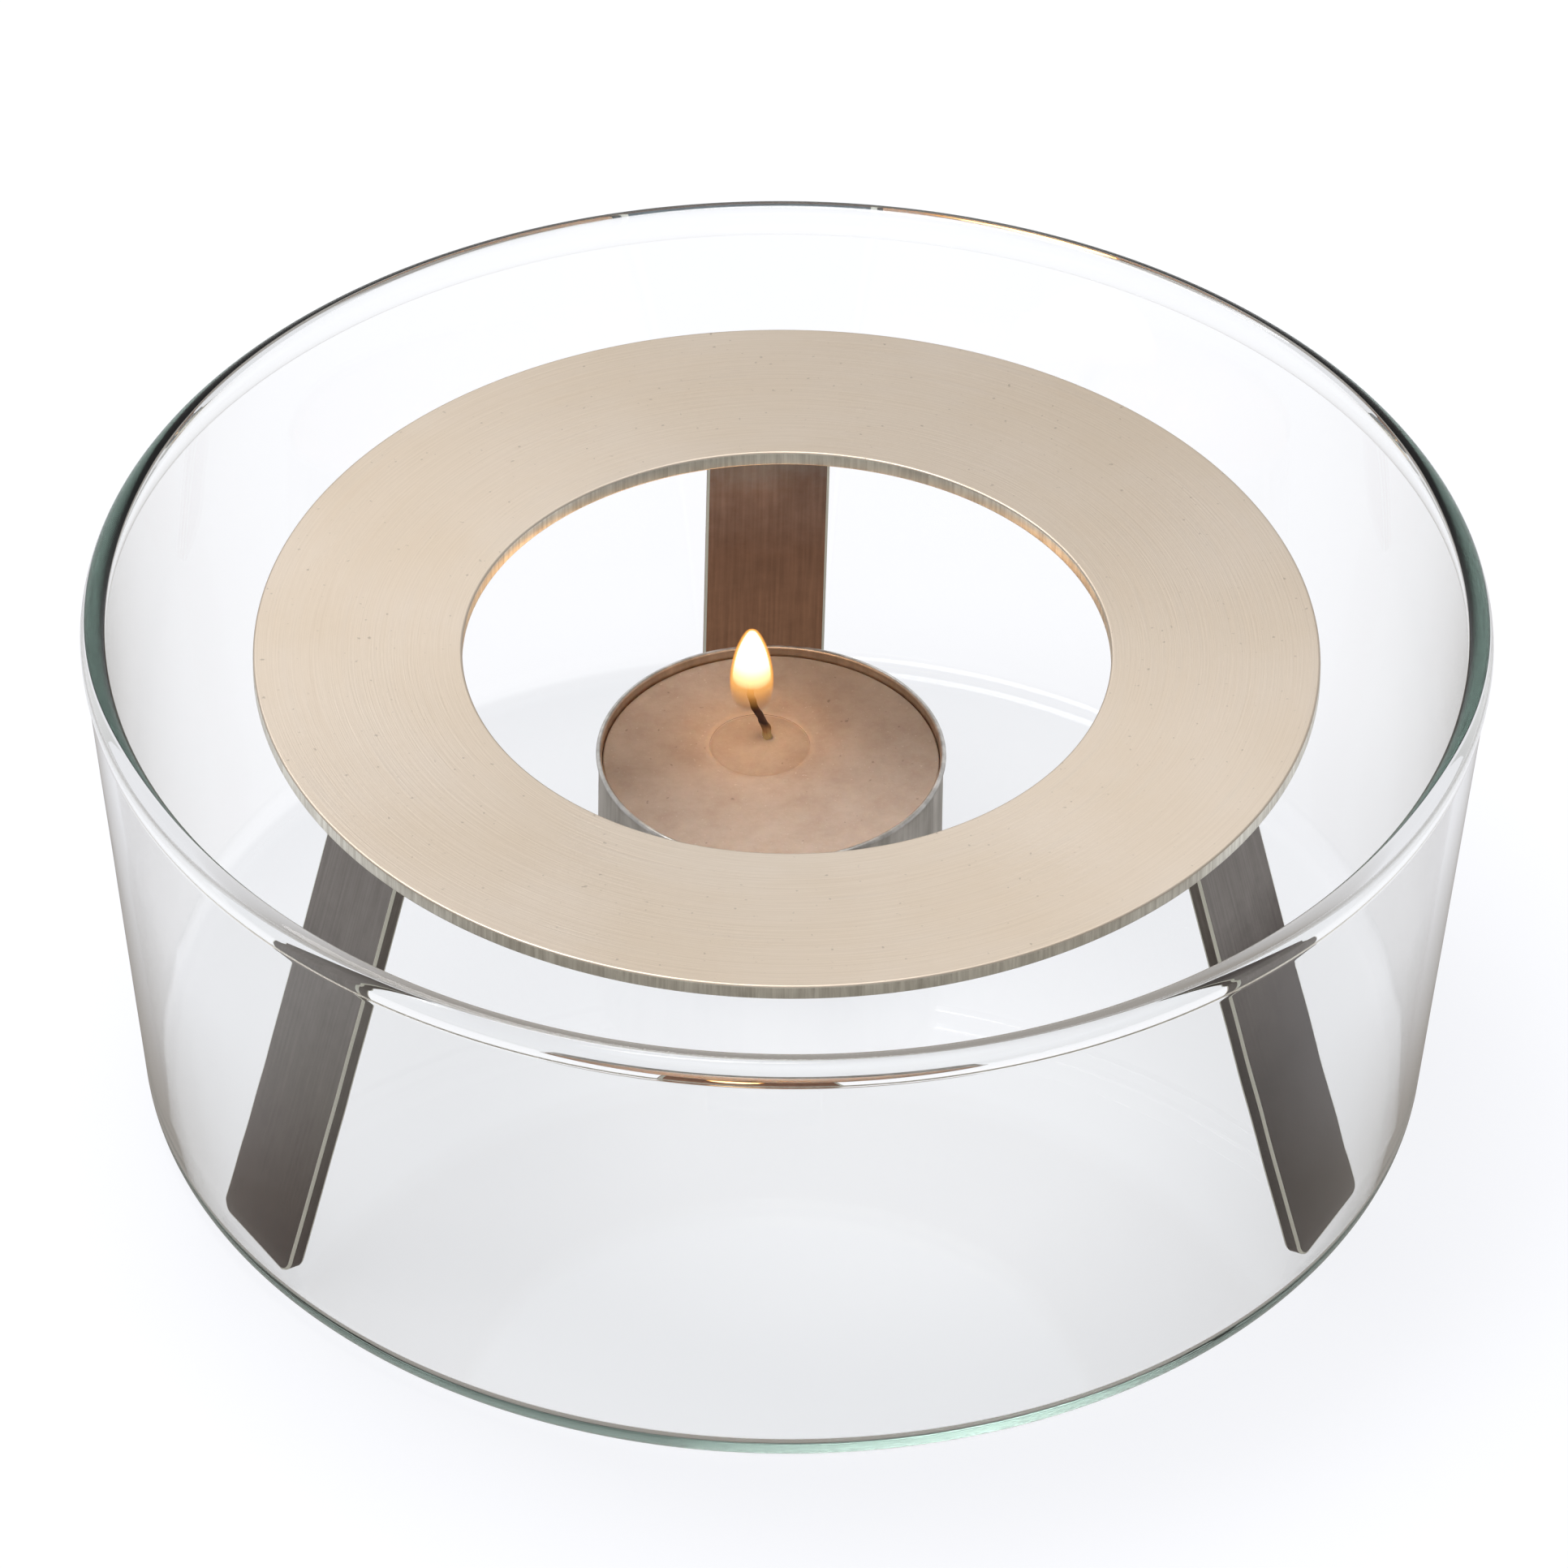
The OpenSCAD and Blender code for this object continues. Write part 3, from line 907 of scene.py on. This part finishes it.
def make_flame():
    """Teardrop of thin glowing skins, so that its edge is soft and its foot lets the wick show."""
    knots = [(r, 0, FLAME_LOW + (FLAME_HIGH - FLAME_LOW) * t) for t, r in FLAME_SHAPE]
    curve = smooth_path(knots, 4)
    points, faces, which = [], [], []
    around = 48
    for skin, (inset, *_) in enumerate(FLAME_SKINS):
        rings = []
        for at in curve[:-1]:
            radius = max(at.x - inset, 0.02)
            height = min(max(at.z, FLAME_LOW + inset), FLAME_HIGH - 1.6 * inset)
            rings.append((radius, height))
        rings = [ring for i, ring in enumerate(rings) if i == 0 or ring[1] > rings[i - 1][1] + 1e-4]
        first = len(points)
        for radius, z in rings:
            for k in range(around):
                a = 2 * math.pi * k / around
                points.append((WICK_TIP.x + radius * math.cos(a), WICK_TIP.y + radius * math.sin(a), z))
        for i in range(len(rings) - 1):
            a, b = first + i * around, first + (i + 1) * around
            faces += [(a + k, a + (k + 1) % around, b + (k + 1) % around, b + k) for k in range(around)]
            which += [skin] * around
        last = first + (len(rings) - 1) * around
        faces += [tuple(range(first + around - 1, first - 1, -1)), tuple(last + k for k in range(around))]
        which += [skin, skin]
    flame = build("candle_flame", points, faces)
    for i, (_, *look) in enumerate(FLAME_SKINS):
        paint(flame, flame_material(f"flame_skin_{i + 1}", *look))
    for face, skin in zip(flame.data.polygons, which):
        face.material_index = skin
    flame.visible_shadow = False
    place(flame, "candle", None)
    lamp = bpy.data.lights.new("flame_light", "POINT")
    lamp.color = (1.0, 0.50, 0.20)
    lamp.energy = FLAME_POWER
    lamp.shadow_soft_size = 2.0 * MM
    light = bpy.data.objects.new("flame_light", lamp)
    light.location = Vector((WICK_TIP.x, WICK_TIP.y, WICK_TIP.z + 2.4)) * MM
    bpy.context.scene.collection.objects.link(light)
    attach(light, "candle")


# ---------------------------------------------------------------- stage, light and camera
LONGEST_PATH = 32
FLOOR_HALF = 5000
FLOOR_Z = -0.02
# The table's glow as glass and steel mirror it: in front and under the bowl, and at both sides of it
DIM_TABLE = (0.34, 0.315, 0.29)
SIDE_TABLE = (0.84, 0.84, 0.87)
# Soft boxes: place and size in metres, power in watts, and colour
SOFT_BOXES = {
    "soft_top": ((-0.34, 0.36, 1.50), (0.85, 0.85), 16.0, (1.0, 0.99, 0.98)),
    "soft_front": ((-0.30, -1.60, 1.30), (1.2, 0.9), 3.0, (1.0, 1.0, 1.0)),
}


def make_floor():
    """Pale table lit from above and a little from below. Glass and steel mirror it as a dim one, except for
    its part at both sides of the bowl, as they would in a studio with a dark room in front of the table."""
    g = Graph("pale_floor")
    mottle = g.noise(g.place(), 3.0)
    colour = g.ramp(mottle, [(0.3, (0.168, 0.168, 0.170)), (0.7, (0.172, 0.172, 0.174))])
    bright = g.principled({
        "Base Color": colour,
        "Roughness": 0.85,
        "Specular IOR Level": 0.2,
        "Emission Color": (0.975, 0.985, 1.02, 1),
        "Emission Strength": 0.84,
    })
    spot = g.add("ShaderNodeSeparateXYZ", {"Vector": g.place()})
    beside = g.ramp(g.maths("ABSOLUTE", spot.outputs["X"]), [(0.070, 0.0), (0.095, 1.0)])
    behind = g.ramp(g.maths("ADD", spot.outputs["Y"], 0.5), [(0.42, 0.0), (0.50, 1.0)])
    mirrored = g.blend(g.maths("MULTIPLY", beside, behind), DIM_TABLE, SIDE_TABLE)
    dim = g.add("ShaderNodeEmission", {"Color": mirrored, "Strength": 1.0})
    paths = g.add("ShaderNodeLightPath")
    mix = g.add("ShaderNodeMixShader")
    g.feed(mix.inputs[0], g.maths("GREATER_THAN", paths.outputs["Glossy Depth"], 0.5))
    g.feed(mix.inputs[1], bright)
    g.feed(mix.inputs[2], dim.outputs[0])
    material = g.finish(mix.outputs[0])
    corners = [(-1, -1), (1, -1), (1, 1), (-1, 1)]
    points = [(x * FLOOR_HALF, y * FLOOR_HALF, FLOOR_Z) for x, y in corners]
    floor = build("floor", points, [(0, 1, 2, 3)])
    paint(floor, material)


def soft_box(name, location, size, power, colour):
    lamp = bpy.data.lights.new(name, "AREA")
    lamp.shape = "RECTANGLE"
    lamp.size, lamp.size_y = size
    lamp.energy = power
    lamp.color = colour
    light = bpy.data.objects.new(name, lamp)
    light.location = location
    light.rotation_euler = (-Vector(location)).to_track_quat("-Z", "Y").to_euler()
    bpy.context.scene.collection.objects.link(light)


def make_world():
    """Bright behind the object, darker in front of it and at its sides, and even overhead, which gives glass
    and steel their edges. The camera sees it as white."""
    world = bpy.data.worlds.new("studio")
    bpy.context.scene.world = world
    world.use_nodes = True
    tree = world.node_tree
    tree.nodes.clear()

    def add(kind, **settings):
        node = tree.nodes.new(kind)
        for key, value in settings.items():
            setattr(node, key, value)
        return node

    def ramp(source, stops):
        node = add("ShaderNodeValToRGB")
        for element, (position, grey) in zip(node.color_ramp.elements, stops):
            element.position = position
            element.color = (grey, grey, grey, 1)
        tree.links.new(source, node.inputs["Fac"])
        return node.outputs["Color"]

    def mixed(mode, a, b, factor=1.0):
        node = add("ShaderNodeMix", data_type="RGBA", blend_type=mode)
        for socket, value in zip((node.inputs[0], node.inputs[6], node.inputs[7]), (factor, a, b)):
            if isinstance(value, bpy.types.NodeSocket):
                tree.links.new(value, socket)
            else:
                socket.default_value = value
        return node.outputs[2]

    way = add("ShaderNodeTexCoord").outputs["Generated"]
    parts = add("ShaderNodeSeparateXYZ")
    tree.links.new(way, parts.inputs[0])
    aside = add("ShaderNodeMath", operation="ABSOLUTE")
    tree.links.new(parts.outputs["X"], aside.inputs[0])
    shifted = add("ShaderNodeMath", operation="ADD")
    shifted.inputs[1].default_value = 0.5
    tree.links.new(parts.outputs["Y"], shifted.inputs[0])
    horizon = mixed("MULTIPLY", ramp(shifted.outputs[0], [(0.25, 0.34), (1.0, 0.95)]),
                    ramp(aside.outputs[0], [(0.45, 1.0), (0.92, 0.58)]))
    both = mixed("MIX", horizon, (0.62, 0.62, 0.62, 1), ramp(parts.outputs["Z"], [(0.10, 0.0), (0.60, 1.0)]))
    seen = add("ShaderNodeBackground")
    seen.inputs["Color"].default_value = (1, 1, 1, 1)
    seen.inputs["Strength"].default_value = 1.1
    lit = add("ShaderNodeBackground")
    tree.links.new(both, lit.inputs["Color"])
    lit.inputs["Strength"].default_value = 1.0
    paths = add("ShaderNodeLightPath")
    mix = add("ShaderNodeMixShader")
    tree.links.new(paths.outputs["Is Camera Ray"], mix.inputs[0])
    tree.links.new(lit.outputs[0], mix.inputs[1])
    tree.links.new(seen.outputs[0], mix.inputs[2])
    output = add("ShaderNodeOutputWorld")
    tree.links.new(mix.outputs[0], output.inputs["Surface"])


def make_camera():
    """Long lens looking down at the holder, turned slightly to the left of its front."""
    elevation, turn, distance = math.radians(38.673), math.radians(-2.341), 1.7735
    back = Vector((
        math.sin(turn) * math.cos(elevation),
        -math.cos(turn) * math.cos(elevation),
        math.sin(elevation),
    ))
    data = bpy.data.cameras.new("camera")
    data.lens = 379.6
    data.sensor_width = 36.0
    data.clip_start, data.clip_end = 0.05, 100.0
    camera = bpy.data.objects.new("camera", data)
    camera.location = Vector((0, 0, 0.030)) + back * distance
    aim = Vector((0.0, 0.00355, 0.03443))
    roll = Quaternion((0, 0, 1), math.radians(0.623))
    camera.rotation_mode = "QUATERNION"
    camera.rotation_quaternion = (aim - camera.location).to_track_quat("-Z", "Y") @ roll
    bpy.context.scene.collection.objects.link(camera)
    bpy.context.scene.camera = camera


def allow_long_paths():
    """Light that runs inside the glass rim and base is mirrored many times before it comes out."""
    cycles = bpy.context.scene.cycles
    cycles.max_bounces = LONGEST_PATH
    cycles.glossy_bounces = LONGEST_PATH
    cycles.transmission_bounces = LONGEST_PATH


def make_stage():
    make_floor()
    make_world()
    for name, box in SOFT_BOXES.items():
        soft_box(name, *box)
    make_camera()
    allow_long_paths()
    view = bpy.context.scene.view_settings
    view.view_transform = "Standard"
    view.look = "None"


make_bowl()
make_ring()
make_legs()
make_weld()
make_cup()
make_wax()
make_melt()
make_wick()
make_flame()
finish_sustainer()
make_stage()
